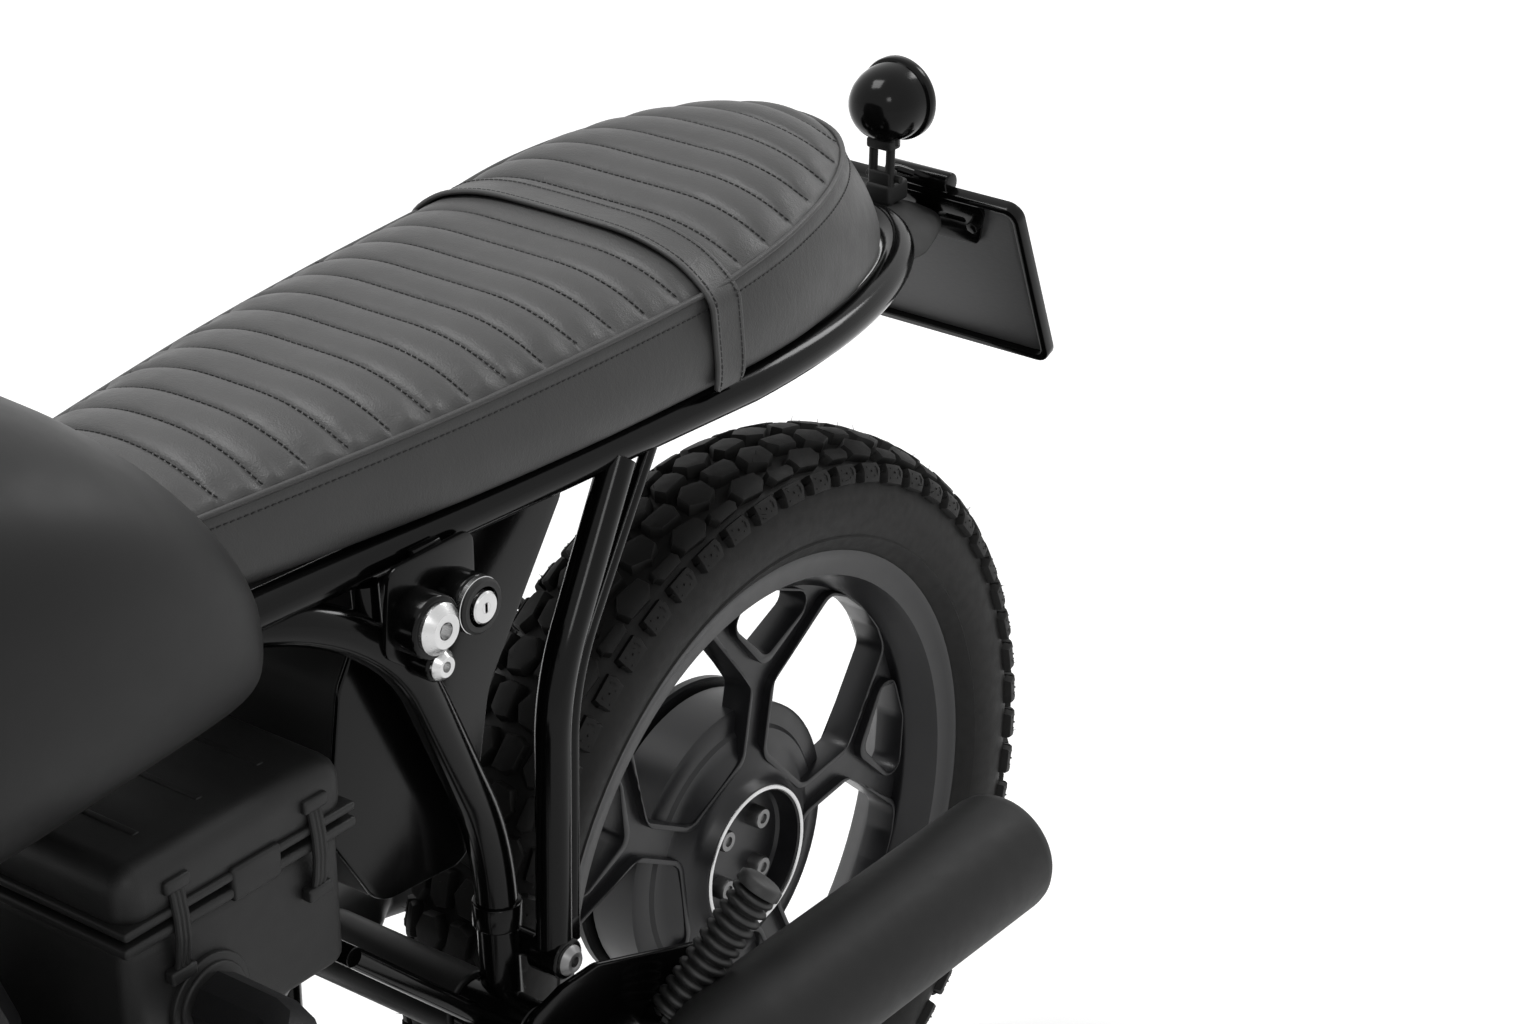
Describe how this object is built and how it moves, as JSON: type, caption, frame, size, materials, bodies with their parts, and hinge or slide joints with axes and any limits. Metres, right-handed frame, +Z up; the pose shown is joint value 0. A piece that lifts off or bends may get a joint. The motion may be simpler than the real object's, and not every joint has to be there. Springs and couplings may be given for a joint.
{
  "type": "custom motorcycle",
  "caption": "Custom roadster motorcycle with a finned flat twin engine, ribbed bench seat, cast wheels and knobby tyres, parked upright on its centre stand.",
  "frame": {"origin": "on the ground, in the middle of the overall length and width", "axes": "+X towards the rear wheel, +Y towards the rider's right, +Z up; the machine faces -X"},
  "size_m": [2.1015, 0.782, 1.0923],
  "materials": {
    "frame_black": "gloss",
    "satin_black": "satin",
    "matte_black": "matte",
    "black_plastic": "matte",
    "leather": "satin",
    "tyre": "matte",
    "rubber": "matte",
    "steel": "brushed",
    "engine": "satin",
    "glass": "gloss",
    "plate": "matte"
  },
  "bodies": {
    "chassis": {"frame": "frame_black", "rear_subframe": "frame_black", "fuel_tank": "matte_black", "fuel_cap": "matte_black", "seat": "leather", "battery_box": "black_plastic", "side_cover_left": "frame_black", "side_cover_right": "frame_black", "lock_bracket": "frame_black", "crankcase": "engine", "gearbox": "engine", "cylinder_left": "engine", "cylinder_right": "engine", "rocker_cover_left": "engine", "rocker_cover_right": "engine", "carburettor_left": "engine", "carburettor_right": "engine", "airbox": "black_plastic", "exhaust_left": "matte_black", "exhaust_right": "matte_black", "swingarm": "satin_black", "final_drive": "satin_black", "shock_absorber": "satin_black", "passenger_footrest_left": "frame_black", "passenger_footrest_right": "frame_black", "footpeg_left": "rubber", "footpeg_right": "rubber", "tail_guard": "matte_black", "tail_lamp": "frame_black", "plate_holder": "frame_black", "number_plate": "plate"},
    "steering": {"lower_clamp": "satin_black", "upper_clamp": "satin_black", "fork_leg_left": "satin_black", "fork_leg_right": "satin_black", "front_axle": "steel", "front_mudguard": "matte_black", "headlight": "satin_black", "headlight_glass": "glass", "handlebar": "satin_black", "grip_left": "rubber", "grip_right": "rubber", "clutch_lever": "satin_black", "brake_lever": "satin_black", "speedometer": "satin_black", "brake_caliper": "satin_black"},
    "front_wheel": {"front_rim": "satin_black", "front_tyre": "tyre", "front_disc": "steel"},
    "rear_wheel": {"rear_rim": "satin_black", "rear_tyre": "tyre"},
    "stand": {"centre_stand": "frame_black"}
  },
  "joints": [
    {"name": "steering_turn", "type": "hinge", "parent": "chassis", "child": "steering", "pos_m": [-0.38623, 0, 0.86], "axis": [0.4695, 0, 0.8829], "range_deg": [-38, 38]},
    {"name": "front_wheel_spin", "type": "hinge", "parent": "steering", "child": "front_wheel", "pos_m": [-0.7235, 0, 0.328], "axis": [0, 1, 0], "continuous": true},
    {"name": "rear_wheel_spin", "type": "hinge", "parent": "chassis", "child": "rear_wheel", "pos_m": [0.7235, 0, 0.338], "axis": [0, 1, 0], "continuous": true},
    {"name": "stand_fold", "type": "hinge", "parent": "chassis", "child": "stand", "pos_m": [0.2535, 0, 0.19], "axis": [0, -1, 0], "range_deg": [0, 75]}
  ]
}
